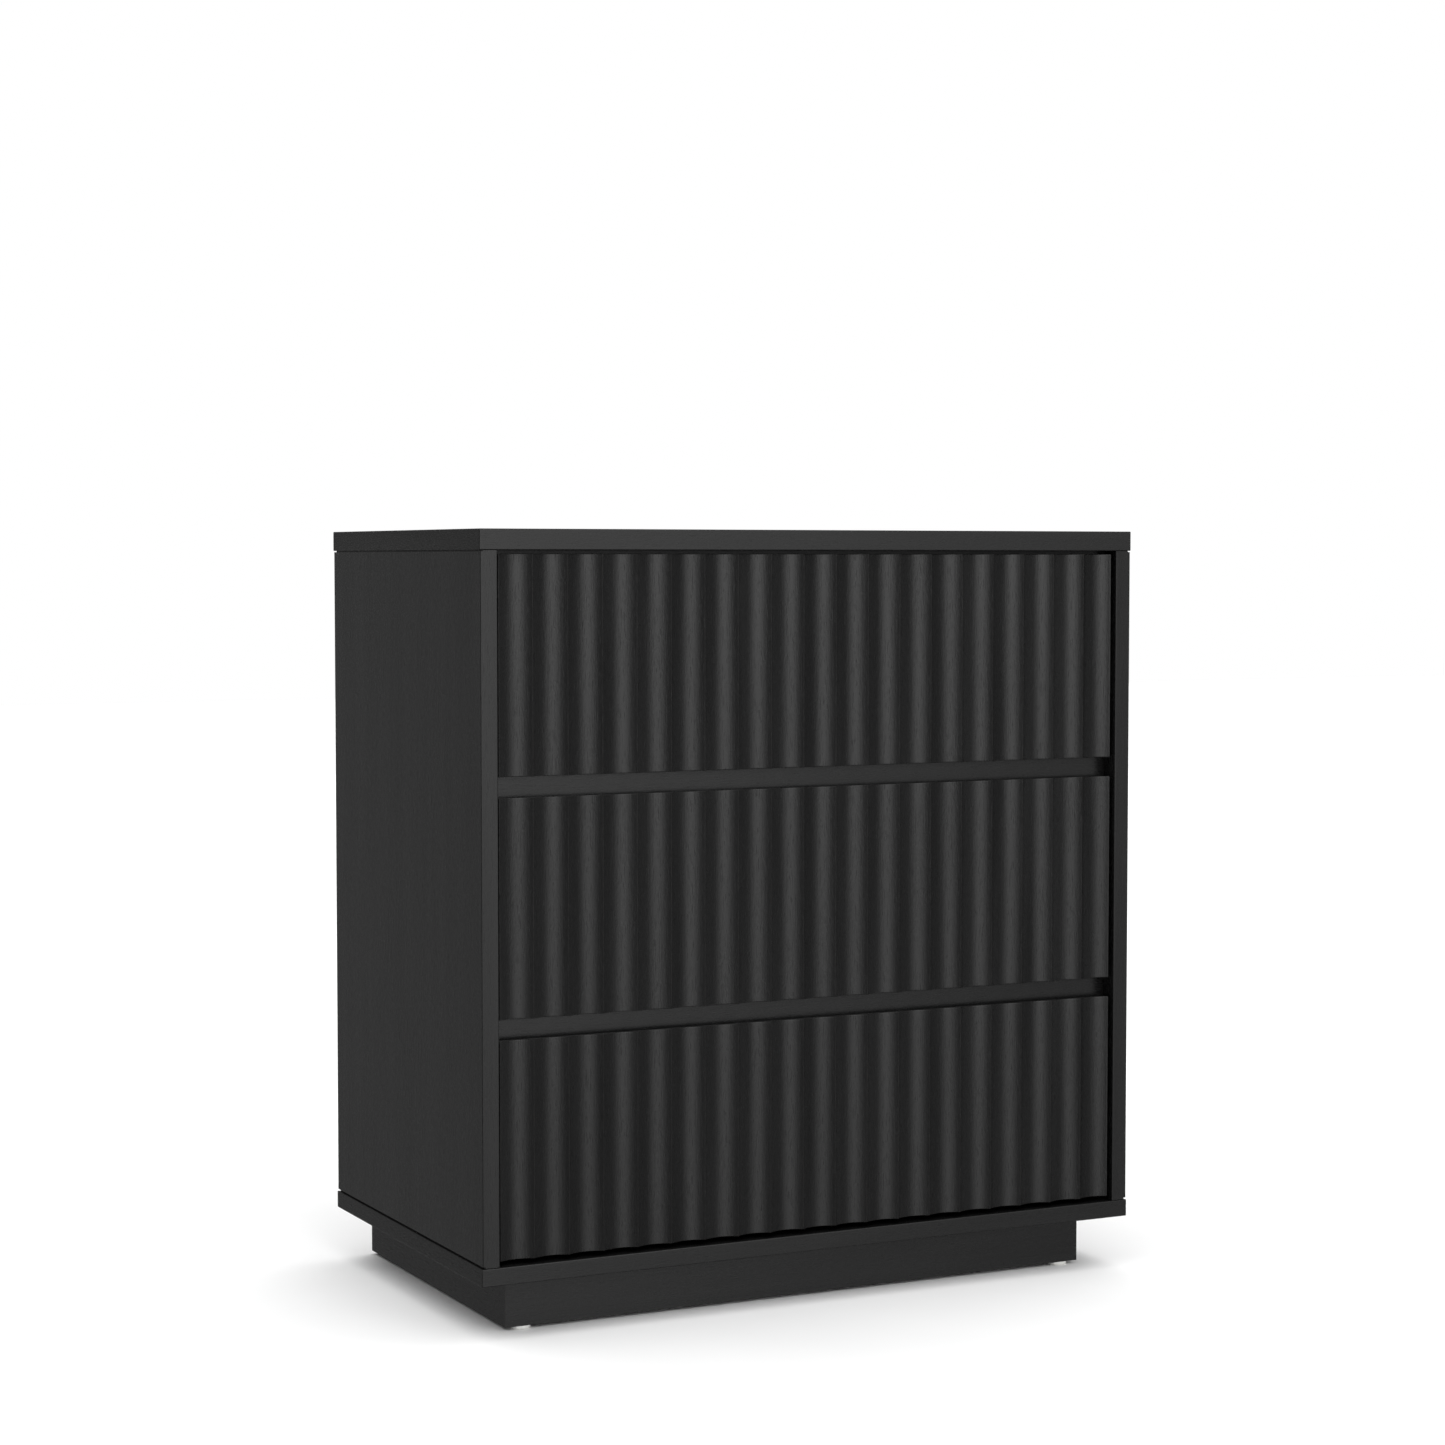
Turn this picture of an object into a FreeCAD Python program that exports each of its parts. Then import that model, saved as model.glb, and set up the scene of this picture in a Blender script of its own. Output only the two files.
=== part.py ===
import FreeCAD, Part
import math
import os

from FreeCAD import Vector

# A three-drawer cabinet with fluted, handle-less drawer fronts on a recessed plinth.
# Millimetres. +X is the viewer's right, +Y runs from the front to the back, +Z is up.
# The origin is on the floor, under the middle of the cabinet.

# ---------------------------------------------------------------- driving dimensions

CABINET_WIDTH = 800.0
CABINET_DEPTH = 452.0

# heights, from the floor up
GLIDE_HEIGHT = 4.0
PLINTH_HEIGHT = 55.5
BASE_THICKNESS = 19.0
SIDE_HEIGHT = 748.0
TOP_THICKNESS = 22.0

# boards of the case
SIDE_THICKNESS = 19.0
SIDE_INSET = 1.0            # the side panels' faces stand inside the ends of top and base
EDGE_ROUND = 1.0            # eased edges of the case boards
SEAM_DEPTH = 3.0            # shadow seams along the side panels' outer faces
LOWER_SEAM = 2.4            # height of the seam over the base panel
UPPER_SEAM = 1.4            # height of the seam under the top panel
BACK_THICKNESS = 4.0
BACK_INSET = 10.0           # from the rear edges to the back panel's rear face
BACK_GROOVE_DEPTH = 6.0

# plinth
PLINTH_BOARD = 19.0
PLINTH_FRONT_INSET = 40.0
PLINTH_SIDE_INSET = 42.0
PLINTH_REAR_INSET = 1.0
CORNER_BLOCK_SIZE = 32.0
CORNER_BLOCK_HEIGHT = 46.0
GLIDE_RADIUS = 11.0
GLIDE_FROM_END = 21.0       # from the plinth's end to the glide's centre

# drawer fronts
FRONT_COUNT = 3
FRONT_HEIGHT = 231.5
FRONT_THICKNESS = 18.0      # from the ridges to the back face
FRONT_RECESS = 2.0          # from the case's front edges to the ridges
FRONT_SIDE_GAP = 3.15       # mean of the left and right gaps
FRONT_OFFSET = -1.25        # the fronts hang this far from the cabinet's middle line
FRONT_BOTTOM_GAP = 5.5
CHANNEL_HEIGHT = 22.0       # finger channel between two fronts
FINGER_BEVEL = 9.0          # rear edges of the fronts beside a finger channel
FLUTE_PITCH = 39.85
FLUTE_DEPTH = 5.7
FLUTE_COUNT = 19
RIDGE_ROUND = 0.3           # radius of the ridge between two flutes

# cross rails behind the finger channels, and the head rail under the top
RAIL_RECESS = 22.0          # from the case's front edges to the rails' front faces
RAIL_THICKNESS = 18.0
RAIL_HEIGHT = 44.0
HEAD_RAIL_HEIGHT = 30.0

# drawer boxes
BOX_DEPTH = 400.0
BOX_HEIGHT = 180.0
BOX_LIFT = 20.0             # from the front's lower edge to the box's lower edge
BOX_SIDE = 15.0
BOX_EDGE_ROUND = 1.5
BOTTOM_THICKNESS = 5.0
BOTTOM_LIFT = 12.0          # from the box's lower edge to the drawer bottom
BOTTOM_GROOVE = 5.0

# telescopic runners, ball bearing, three members
RUNNER_LENGTH = 400.0
RUNNER_SPACE = 12.7         # from the side panel to the drawer box
RUNNER_LIFT = 90.0          # from the front's lower edge to the runner's centre line
RUNNER_START = 22.0         # from the case's front edges to the runner's front end
RUNNER_STEEL = 1.2
BEND_FACTOR = 1.25          # outer radius of a bend, in thicknesses of its steel
SLOT_LENGTH = 8.0           # between the end centres of a spare screw slot
SLOT_RADIUS = 2.3
CAGE_STEEL = 0.5
CAGE_LENGTH = 200.0
OUTER_BALL_RADIUS = 2.05
INNER_BALL_RADIUS = 1.9
BALL_PITCH = 32.0
BALLS_PER_ROW = 6

# fittings
CAM_RADIUS = 7.5
CAM_DEPTH = 12.5
CAM_FROM_EDGE = 24.0
CAM_BOLT_RADIUS = 3.0
CAM_BOLT_THREAD = 10.0      # length of the bolt inside the joined board
CAM_CROSS_LENGTH = 9.0
CAM_CROSS_WIDTH = 1.6
CAM_CROSS_DEPTH = 2.5
DOWEL_RADIUS = 4.0
DOWEL_LENGTH = 30.0
DOWEL_IN_FACE = 12.0        # length of a dowel inside the board that it enters by the face
FITTING_CLEARANCE = 0.15
SCREW_RADIUS = 1.75
SCREW_LENGTH = 12.0
SCREW_HEAD_RADIUS = 3.6
SCREW_HEAD_HEIGHT = 0.8
SCREW_CROSS_LENGTH = 3.6
SCREW_CROSS_WIDTH = 0.8
SCREW_CROSS_DEPTH = 0.5
PLINTH_SCREW_RADIUS = 2.25
PLINTH_SCREW_LENGTH = 56.0
PLINTH_SCREW_HEAD_RADIUS = 4.2
PLINTH_SCREW_HEAD_HEIGHT = 2.5

# places of fittings along the depth, from the case's front edges
CASE_CAM_DEPTHS = (52.0, 392.0)
CASE_DOWEL_DEPTHS = (84.0, 360.0)
RUNNER_SCREW_OFFSETS = (38.0, 166.0, 358.0)     # from the runner's front end
BOX_SCREW_OFFSETS = (22.0, 214.0, 374.0)        # from the runner's front end
CABINET_SLOT_OFFSETS = (70.0, 118.0, 262.0, 310.0)
DRAWER_SLOT_OFFSETS = (54.0, 118.0, 278.0, 326.0)
BOX_CAM_HEIGHTS = (42.0, 146.0)                 # from the box's lower edge
RAIL_DOWEL_INSET = 9.0                          # from a rail's lower and upper edge

# ---------------------------------------------------------------- derived places

FRONT_Y = -CABINET_DEPTH / 2
REAR_Y = CABINET_DEPTH / 2
HALF_WIDTH = CABINET_WIDTH / 2
SIDE_OUTER_X = HALF_WIDTH - SIDE_INSET
SIDE_INNER_X = SIDE_OUTER_X - SIDE_THICKNESS
PLINTH_HALF = HALF_WIDTH - PLINTH_SIDE_INSET
PLINTH_FRONT_Y = FRONT_Y + PLINTH_FRONT_INSET
PLINTH_REAR_Y = REAR_Y - PLINTH_REAR_INSET
BASE_BOTTOM_Z = GLIDE_HEIGHT + PLINTH_HEIGHT
BASE_TOP_Z = BASE_BOTTOM_Z + BASE_THICKNESS
SIDE_TOP_Z = BASE_TOP_Z + SIDE_HEIGHT
TOP_Z = SIDE_TOP_Z + TOP_THICKNESS
BACK_REAR_Y = REAR_Y - BACK_INSET
BACK_FRONT_Y = BACK_REAR_Y - BACK_THICKNESS
RIDGE_Y = FRONT_Y + FRONT_RECESS
FRONT_BACK_Y = RIDGE_Y + FRONT_THICKNESS
FRONT_HALF = SIDE_INNER_X - FRONT_SIDE_GAP
RAIL_FRONT_Y = FRONT_Y + RAIL_RECESS
RAIL_REAR_Y = RAIL_FRONT_Y + RAIL_THICKNESS
BOX_HALF = SIDE_INNER_X - RUNNER_SPACE
BOX_REAR_Y = FRONT_BACK_Y + BOX_DEPTH
RUNNER_Y = FRONT_Y + RUNNER_START
DRAWERS = ("bottom", "middle", "top")

X_AXIS = Vector(1, 0, 0)
Y_AXIS = Vector(0, 1, 0)
Z_AXIS = Vector(0, 0, 1)
ORIGIN = Vector(0, 0, 0)


def front_bottom_z(index):
    """Lower edge of a drawer front, counted from the bottom drawer."""
    return BASE_TOP_Z + FRONT_BOTTOM_GAP + index * (FRONT_HEIGHT + CHANNEL_HEIGHT)


# ---------------------------------------------------------------- helpers

def box(x0, x1, y0, y1, z0, z1):
    """A block between two corners."""
    return Part.makeBox(x1 - x0, y1 - y0, z1 - z0, Vector(x0, y0, z0))


def eased_box(x0, x1, y0, y1, z0, z1, radius):
    """A block with all its edges rounded."""
    block = box(x0, x1, y0, y1, z0, z1)
    return block.makeFillet(radius, block.Edges)


def rod(start, axis, length, radius):
    """A cylinder from a start point along an axis."""
    return Part.makeCylinder(radius, length, Vector(*start), axis)


def prism(points, direction):
    """A closed outline pushed along a direction."""
    corners = [Vector(*point) for point in points]
    outline = Part.makePolygon(corners + corners[:1])
    return Part.Face(outline).extrude(direction)


def cut_all(shape, cutters):
    """The shape with a list of cutters taken away."""
    return shape.cut(Part.makeCompound(cutters)) if cutters else shape


def mirrored(shape):
    """The same piece on the other side of the cabinet."""
    return shape.mirror(ORIGIN, X_AXIS)


def both_sides(shapes):
    """A list of left-hand pieces with their right-hand twins."""
    return shapes + [mirrored(shape) for shape in shapes]


def write(node, shapes):
    """One STEP file, holding one solid or a group of like solids."""
    solids = []
    for shape in shapes:
        solids += shape.Solids
    for solid in solids:
        if not solid.isValid() or solid.Volume <= 0:
            raise ValueError("bad solid in " + node)
    result = solids[0] if len(solids) == 1 else Part.makeCompound(solids)
    result.exportStep("parts/" + node + ".step")


# ---------------------------------------------------------------- cam fittings and dowels

def cross_recess(centre, axis, length, width, depth):
    """Cutter for a driver's cross, sunk against the axis from a face centre."""
    x, y, z = centre
    half = length / 2
    thin = width / 2
    if axis == X_AXIS:
        bars = [box(x - depth, x, y - half, y + half, z - thin, z + thin),
                box(x - depth, x, y - thin, y + thin, z - half, z + half)]
    else:
        bars = [box(x - half, x + half, y - thin, y + thin, z, z + depth),
                box(x - thin, x + thin, y - half, y + half, z, z + depth)]
    return bars[0].fuse(bars[1])


def cam_lock(face_x, y, z, bolt_axis):
    """A cam housing in a left-hand board, flush with its face at face_x.

    The housing lies along -X from the face, and the bolt enters it along bolt_axis.
    """
    housing = rod((face_x - CAM_DEPTH, y, z), X_AXIS, CAM_DEPTH, CAM_RADIUS)
    centre_x = face_x - CAM_DEPTH / 2
    passage = rod((centre_x, y, z), bolt_axis, CAM_RADIUS * 2, CAM_BOLT_RADIUS + FITTING_CLEARANCE)
    socket = Part.makeSphere(CAM_BOLT_RADIUS + FITTING_CLEARANCE, Vector(centre_x, y, z))
    cross = cross_recess((face_x, y, z), X_AXIS, CAM_CROSS_LENGTH, CAM_CROSS_WIDTH, CAM_CROSS_DEPTH)
    return cut_all(housing, [passage, socket, cross])


def cam_bolt(face_x, y, z, bolt_axis):
    """The bolt from the middle of a cam housing into the joined board."""
    start = (face_x - CAM_DEPTH / 2, y, z)
    return rod(start, bolt_axis, CAM_FROM_EDGE + CAM_BOLT_THREAD, CAM_BOLT_RADIUS)


def cam_cutters(face_x, y, z, bolt_axis):
    """Cutters for one cam joint: the housing's pocket and the bolt's hole."""
    pocket_radius = CAM_RADIUS + FITTING_CLEARANCE
    pocket = rod((face_x - CAM_DEPTH, y, z), X_AXIS, CAM_DEPTH, pocket_radius)
    start = (face_x - CAM_DEPTH / 2, y, z)
    hole_radius = CAM_BOLT_RADIUS + FITTING_CLEARANCE
    hole = rod(start, bolt_axis, CAM_FROM_EDGE + CAM_BOLT_THREAD, hole_radius)
    return [pocket, hole]


def dowel_at(start, axis):
    """A dowel between two boards."""
    return rod(start, axis, DOWEL_LENGTH, DOWEL_RADIUS)


def dowel_hole(start, axis):
    """Cutter for the two holes that a dowel sits in."""
    return rod(start, axis, DOWEL_LENGTH, DOWEL_RADIUS + FITTING_CLEARANCE)


# ---------------------------------------------------------------- joints of the case

LEFT_FACE_X = -SIDE_INNER_X                         # inner face of the left side panel
CAM_TOP_Z = SIDE_TOP_Z - CAM_FROM_EDGE
CAM_BASE_Z = BASE_TOP_Z + CAM_FROM_EDGE
SIDE_MIDDLE_X = -(SIDE_OUTER_X + SIDE_INNER_X) / 2


def case_cam_places():
    """Left-hand cam joints: height, depth and direction of the bolt."""
    places = []
    for depth in CASE_CAM_DEPTHS:
        places.append((FRONT_Y + depth, CAM_TOP_Z, Z_AXIS))
        places.append((FRONT_Y + depth, CAM_BASE_Z, -Z_AXIS))
    return places


def side_dowel_places():
    """Left-hand dowels between the side panel and the top and base."""
    places = []
    for depth in CASE_DOWEL_DEPTHS:
        y = FRONT_Y + depth
        places.append((SIDE_MIDDLE_X, y, SIDE_TOP_Z + DOWEL_IN_FACE - DOWEL_LENGTH))
        places.append((SIDE_MIDDLE_X, y, BASE_TOP_Z - DOWEL_IN_FACE))
    return places


def cross_rail_heights(index):
    """Lower and upper edge of the rail above a drawer, counted from the bottom drawer."""
    centre_z = front_bottom_z(index) + FRONT_HEIGHT + CHANNEL_HEIGHT / 2
    return centre_z - RAIL_HEIGHT / 2, centre_z + RAIL_HEIGHT / 2


RAIL_HEIGHTS = {
    "lower_rail": cross_rail_heights(0),
    "upper_rail": cross_rail_heights(1),
    "head_rail": (SIDE_TOP_Z - HEAD_RAIL_HEIGHT, SIDE_TOP_Z),
}


def rail_dowel_places():
    """Left-hand dowels in the ends of the rails."""
    places = []
    for low_z, high_z in RAIL_HEIGHTS.values():
        for z in (low_z + RAIL_DOWEL_INSET, high_z - RAIL_DOWEL_INSET):
            places.append((LEFT_FACE_X - DOWEL_IN_FACE, (RAIL_FRONT_Y + RAIL_REAR_Y) / 2, z))
    return places


def case_cutters():
    """All the fitting holes of the case joints, left and right."""
    cutters = []
    for y, z, axis in case_cam_places():
        cutters += cam_cutters(LEFT_FACE_X, y, z, axis)
    for place in side_dowel_places():
        cutters.append(dowel_hole(place, Z_AXIS))
    for place in rail_dowel_places():
        cutters.append(dowel_hole(place, X_AXIS))
    return both_sides(cutters)


CASE_CUTTERS = case_cutters()


# ---------------------------------------------------------------- case boards

def back_groove():
    """Space of the back panel with its tongues in the grooves, as one block."""
    reach_x = SIDE_INNER_X + BACK_GROOVE_DEPTH
    low_z = BASE_TOP_Z - BACK_GROOVE_DEPTH
    high_z = SIDE_TOP_Z + BACK_GROOVE_DEPTH
    return box(-reach_x, reach_x, BACK_FRONT_Y, BACK_REAR_Y, low_z, high_z)


def top_panel():
    board = eased_box(-HALF_WIDTH, HALF_WIDTH, FRONT_Y, REAR_Y, SIDE_TOP_Z, TOP_Z, EDGE_ROUND)
    return cut_all(board, CASE_CUTTERS + [back_groove()])


def base_panel():
    board = eased_box(-HALF_WIDTH, HALF_WIDTH, FRONT_Y, REAR_Y,
                      BASE_BOTTOM_Z, BASE_TOP_Z, EDGE_ROUND)
    return cut_all(board, CASE_CUTTERS + [back_groove()] + plinth_screw_holes())


def side_seams():
    """Cutters for the shadow seams along the left side panel's outer lower and upper edges."""
    inner_x = SEAM_DEPTH - SIDE_OUTER_X
    return [box(-SIDE_OUTER_X, inner_x, FRONT_Y, REAR_Y, BASE_TOP_Z, BASE_TOP_Z + LOWER_SEAM),
            box(-SIDE_OUTER_X, inner_x, FRONT_Y, REAR_Y, SIDE_TOP_Z - UPPER_SEAM, SIDE_TOP_Z)]


def left_side_panel():
    board = eased_box(-SIDE_OUTER_X, -SIDE_INNER_X, FRONT_Y, REAR_Y,
                      BASE_TOP_Z, SIDE_TOP_Z, EDGE_ROUND)
    holes = [runner_screw_hole(place) for place in cabinet_screw_places()]
    return cut_all(board, CASE_CUTTERS + side_seams() + [back_groove()] + holes)


def rail(low_z, high_z):
    board = box(-SIDE_INNER_X, SIDE_INNER_X, RAIL_FRONT_Y, RAIL_REAR_Y, low_z, high_z)
    return cut_all(board, CASE_CUTTERS)


# ---------------------------------------------------------------- plinth

def mitred_board(start, end, inward):
    """An upright plinth board between two outer corners, mitred at both ends."""
    along = (end - start).normalize()
    start_in = start + (along + inward) * PLINTH_BOARD
    end_in = end + (inward - along) * PLINTH_BOARD
    points = [tuple(point) for point in (start, end, end_in, start_in)]
    return prism(points, Vector(0, 0, PLINTH_HEIGHT))


def plinth_boards():
    """The four boards of the plinth frame, by node name."""
    front_left = Vector(-PLINTH_HALF, PLINTH_FRONT_Y, GLIDE_HEIGHT)
    front_right = Vector(PLINTH_HALF, PLINTH_FRONT_Y, GLIDE_HEIGHT)
    rear_left = Vector(-PLINTH_HALF, PLINTH_REAR_Y, GLIDE_HEIGHT)
    rear_right = Vector(PLINTH_HALF, PLINTH_REAR_Y, GLIDE_HEIGHT)
    return {
        "plinth_front": mitred_board(front_left, front_right, Y_AXIS),
        "plinth_back": mitred_board(rear_left, rear_right, -Y_AXIS),
        "plinth_left": mitred_board(front_left, rear_left, X_AXIS),
        "plinth_right": mitred_board(front_right, rear_right, -X_AXIS),
    }


def corner_block_centres():
    """Centres of the corner blocks inside the plinth frame, left then right."""
    inside = PLINTH_BOARD + CORNER_BLOCK_SIZE / 2
    x = PLINTH_HALF - inside
    centres = []
    for y in (PLINTH_FRONT_Y + inside, PLINTH_REAR_Y - inside):
        centres += [(-x, y), (x, y)]
    return centres


def plinth_screw_holes():
    """Cutters for the screws that hold the base panel on the corner blocks."""
    bottom_z = BASE_BOTTOM_Z - CORNER_BLOCK_HEIGHT
    holes = []
    for x, y in corner_block_centres():
        radius = PLINTH_SCREW_RADIUS + FITTING_CLEARANCE
        holes.append(rod((x, y, bottom_z), Z_AXIS, PLINTH_SCREW_LENGTH, radius))
    return holes


def corner_blocks():
    half = CORNER_BLOCK_SIZE / 2
    bottom_z = BASE_BOTTOM_Z - CORNER_BLOCK_HEIGHT
    holes = plinth_screw_holes()
    blocks = []
    for x, y in corner_block_centres():
        block = box(x - half, x + half, y - half, y + half, bottom_z, BASE_BOTTOM_Z)
        blocks.append(cut_all(block, holes))
    return blocks


def plinth_screws():
    """Pan-head screws, driven upwards through the corner blocks."""
    bottom_z = BASE_BOTTOM_Z - CORNER_BLOCK_HEIGHT
    screws = []
    for x, y in corner_block_centres():
        head_z = bottom_z - PLINTH_SCREW_HEAD_HEIGHT
        head = rod((x, y, head_z), Z_AXIS, PLINTH_SCREW_HEAD_HEIGHT, PLINTH_SCREW_HEAD_RADIUS)
        shank = rod((x, y, bottom_z), Z_AXIS, PLINTH_SCREW_LENGTH, PLINTH_SCREW_RADIUS)
        cross = cross_recess((x, y, head_z), Z_AXIS, SCREW_CROSS_LENGTH,
                             SCREW_CROSS_WIDTH, SCREW_CROSS_DEPTH * 2)
        screws.append(head.fuse(shank).removeSplitter().cut(cross))
    return screws


def floor_glides():
    """Round nail-on glides under the plinth boards, near the corners."""
    x = PLINTH_HALF - GLIDE_FROM_END
    glides = []
    for y in (PLINTH_FRONT_Y + PLINTH_BOARD / 2, PLINTH_REAR_Y - GLIDE_RADIUS):
        disc = rod((-x, y, 0), Z_AXIS, GLIDE_HEIGHT, GLIDE_RADIUS)
        lower_rim = [edge for edge in disc.Edges if edge.BoundBox.ZMax < GLIDE_HEIGHT / 2]
        glides.append(disc.makeFillet(EDGE_ROUND, lower_rim))
    return both_sides(glides)


# ---------------------------------------------------------------- fluted drawer fronts

FLUTE_RADIUS = ((FLUTE_PITCH / 2) ** 2 + FLUTE_DEPTH ** 2) / (2 * FLUTE_DEPTH)
RIDGE_ANGLE = math.asin(FLUTE_PITCH / 2 / FLUTE_RADIUS)
RIDGE_HALF = RIDGE_ROUND * math.sin(RIDGE_ANGLE)


def flute_y(offset):
    """Depth of a flute's surface at a distance from the flute's centre line."""
    centre_y = RIDGE_Y + FLUTE_DEPTH - FLUTE_RADIUS
    return centre_y + math.sqrt(FLUTE_RADIUS ** 2 - offset ** 2)


def flute_arc(centre_x, start, end):
    """One concave flute between two offsets from its centre line."""
    middle = (start + end) / 2
    points = [Vector(centre_x + offset, flute_y(offset), 0) for offset in (start, middle, end)]
    return Part.Arc(*points).toShape()


def ridge_arc(x):
    """The rounded ridge between two flutes."""
    edge_y = flute_y(FLUTE_PITCH / 2 - RIDGE_HALF)
    apex_y = edge_y - RIDGE_ROUND * (1 - math.cos(RIDGE_ANGLE))
    points = [Vector(x - RIDGE_HALF, edge_y, 0), Vector(x, apex_y, 0), Vector(x + RIDGE_HALF, edge_y, 0)]
    return Part.Arc(*points).toShape()


def front_outline():
    """Plan outline of a fluted front about its own middle: arcs in front, straight lines behind."""
    reach = FLUTE_PITCH / 2 - RIDGE_HALF
    last = FLUTE_COUNT // 2
    edges = []
    for number in range(-last, last + 1):
        centre_x = number * FLUTE_PITCH
        start = max(-reach, -FRONT_HALF - centre_x)
        end = min(reach, FRONT_HALF - centre_x)
        edges.append(flute_arc(centre_x, start, end))
        if number < last:
            edges.append(ridge_arc(centre_x + FLUTE_PITCH / 2))
    end_y = flute_y(FRONT_HALF - last * FLUTE_PITCH)
    right_front = Vector(FRONT_HALF, end_y, 0)
    right_back = Vector(FRONT_HALF, FRONT_BACK_Y, 0)
    left_back = Vector(-FRONT_HALF, FRONT_BACK_Y, 0)
    left_front = Vector(-FRONT_HALF, end_y, 0)
    edges.append(Part.LineSegment(right_front, right_back).toShape())
    edges.append(Part.LineSegment(right_back, left_back).toShape())
    edges.append(Part.LineSegment(left_back, left_front).toShape())
    return Part.Wire(edges)


def finger_bevel(edge_z, inward):
    """Cutter along a front's rear edge: inward is 1 at the lower edge, -1 at the upper."""
    left_x = FRONT_OFFSET - FRONT_HALF
    points = [(left_x, FRONT_BACK_Y, edge_z),
              (left_x, FRONT_BACK_Y - FINGER_BEVEL, edge_z),
              (left_x, FRONT_BACK_Y, edge_z + inward * FINGER_BEVEL)]
    return prism(points, Vector(2 * FRONT_HALF, 0, 0))


def drawer_front(index):
    low_z = front_bottom_z(index)
    high_z = low_z + FRONT_HEIGHT
    face = Part.Face(front_outline())
    face.translate(Vector(FRONT_OFFSET, 0, low_z))
    board = face.extrude(Vector(0, 0, FRONT_HEIGHT))
    cutters = [bottom_panel_space(index)]
    if index > 0:
        cutters.append(finger_bevel(low_z, 1))
    if index < FRONT_COUNT - 1:
        cutters.append(finger_bevel(high_z, -1))
    return cut_all(board, cutters + box_cam_cutters(index))


# ---------------------------------------------------------------- drawer boxes

def box_bottom_z(index):
    return front_bottom_z(index) + BOX_LIFT


def bottom_panel_space(index):
    """Space of a drawer bottom with its edges in the grooves."""
    reach = BOX_HALF - BOX_SIDE + BOTTOM_GROOVE
    low_z = box_bottom_z(index) + BOTTOM_LIFT
    return box(-reach, reach, FRONT_BACK_Y - BOTTOM_GROOVE, BOX_REAR_Y - BOX_SIDE + BOTTOM_GROOVE,
               low_z, low_z + BOTTOM_THICKNESS)


def box_cam_places(index):
    """Cam joints between the left drawer side and the front."""
    face_x = BOX_SIDE - BOX_HALF
    y = FRONT_BACK_Y + CAM_FROM_EDGE
    return [(face_x, y, box_bottom_z(index) + height) for height in BOX_CAM_HEIGHTS]


def box_cam_cutters(index):
    cutters = []
    for face_x, y, z in box_cam_places(index):
        cutters += cam_cutters(face_x, y, z, -Y_AXIS)
    return both_sides(cutters)


def drawer_left_side(index):
    low_z = box_bottom_z(index)
    board = box(-BOX_HALF, BOX_SIDE - BOX_HALF, FRONT_BACK_Y, BOX_REAR_Y, low_z, low_z + BOX_HEIGHT)
    long_edges = [edge for edge in board.Edges if edge.BoundBox.YLength > BOX_DEPTH / 2]
    board = board.makeFillet(BOX_EDGE_ROUND, long_edges)
    holes = [runner_screw_hole(place) for place in box_screw_places(index)]
    return cut_all(board, [bottom_panel_space(index)] + box_cam_cutters(index) + holes)


def drawer_back(index):
    low_z = box_bottom_z(index)
    reach = BOX_HALF - BOX_SIDE
    board = box(-reach, reach, BOX_REAR_Y - BOX_SIDE, BOX_REAR_Y, low_z, low_z + BOX_HEIGHT)
    long_edges = [edge for edge in board.Edges if edge.BoundBox.XLength > reach]
    board = board.makeFillet(BOX_EDGE_ROUND, long_edges)
    return board.cut(bottom_panel_space(index))


def drawer_cam_fittings(index):
    """Cam housings and bolts that pull the front against the drawer sides."""
    fittings = []
    for face_x, y, z in box_cam_places(index):
        fittings.append(cam_lock(face_x, y, z, -Y_AXIS))
        fittings.append(cam_bolt(face_x, y, z, -Y_AXIS))
    return both_sides(fittings)


# ---------------------------------------------------------------- telescopic runners

# Sections are measured as (distance from the side panel, height above the centre line).
CABINET_MEMBER = {"web": 0.0, "lip": 10.5, "half_height": 22.7, "hook": 2.4}
MIDDLE_MEMBER = {"web": 3.2, "lip": 11.2, "half_height": 17.0, "hook": 0.0}
DRAWER_MEMBER = {"web": RUNNER_SPACE, "lip": 6.0, "half_height": 11.6, "hook": 0.0}
OUTER_CAGE = {"web": 2.3, "lip": 9.2, "half_height": 19.6, "hook": 0.0}
INNER_CAGE = {"web": 4.8, "lip": 10.4, "half_height": 14.0, "hook": 0.0}
OUTER_BALL_FROM_SIDE = 6.4
OUTER_BALL_HEIGHT = 19.25
INNER_BALL_FROM_SIDE = 8.2
INNER_BALL_HEIGHT = 13.7


def runner_centre_z(index):
    return front_bottom_z(index) + RUNNER_LIFT


def bent(channel_shape, centre_z, bends, steel):
    """A channel with its bends rounded, each given as (distance from the side panel, height)."""
    edges = []
    for edge in channel_shape.Edges:
        middle = edge.BoundBox.Center
        place = (round(middle.x - LEFT_FACE_X, 3), round(abs(middle.z - centre_z), 3))
        if edge.BoundBox.YLength > steel and place in bends:
            edges.append(edge)
    return channel_shape.makeFillet(steel * BEND_FACTOR, edges)


def channel(index, section, steel, start_y, length):
    """A left-hand C-channel along the runner, with hooked lips where hook is not 0."""
    web = section["web"]
    lip = section["lip"]
    top = section["half_height"]
    inward = math.copysign(steel, lip - web)
    under = top - steel
    half = [(web, top), (lip, top)]
    if section["hook"] > 0:
        half += [(lip, top - section["hook"]), (lip - inward, top - section["hook"])]
        half += [(lip - inward, under)]
    else:
        half += [(lip, under)]
    half += [(web + inward, under)]
    section_points = half + [(u, -v) for u, v in reversed(half)]
    z = runner_centre_z(index)
    points = [(LEFT_FACE_X + u, start_y, z + v) for u, v in section_points]
    bends = [(web, top)]
    if section["hook"] > 0:
        bends.append((lip, top))
    return bent(prism(points, Vector(0, length, 0)), z, bends, steel)


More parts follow.
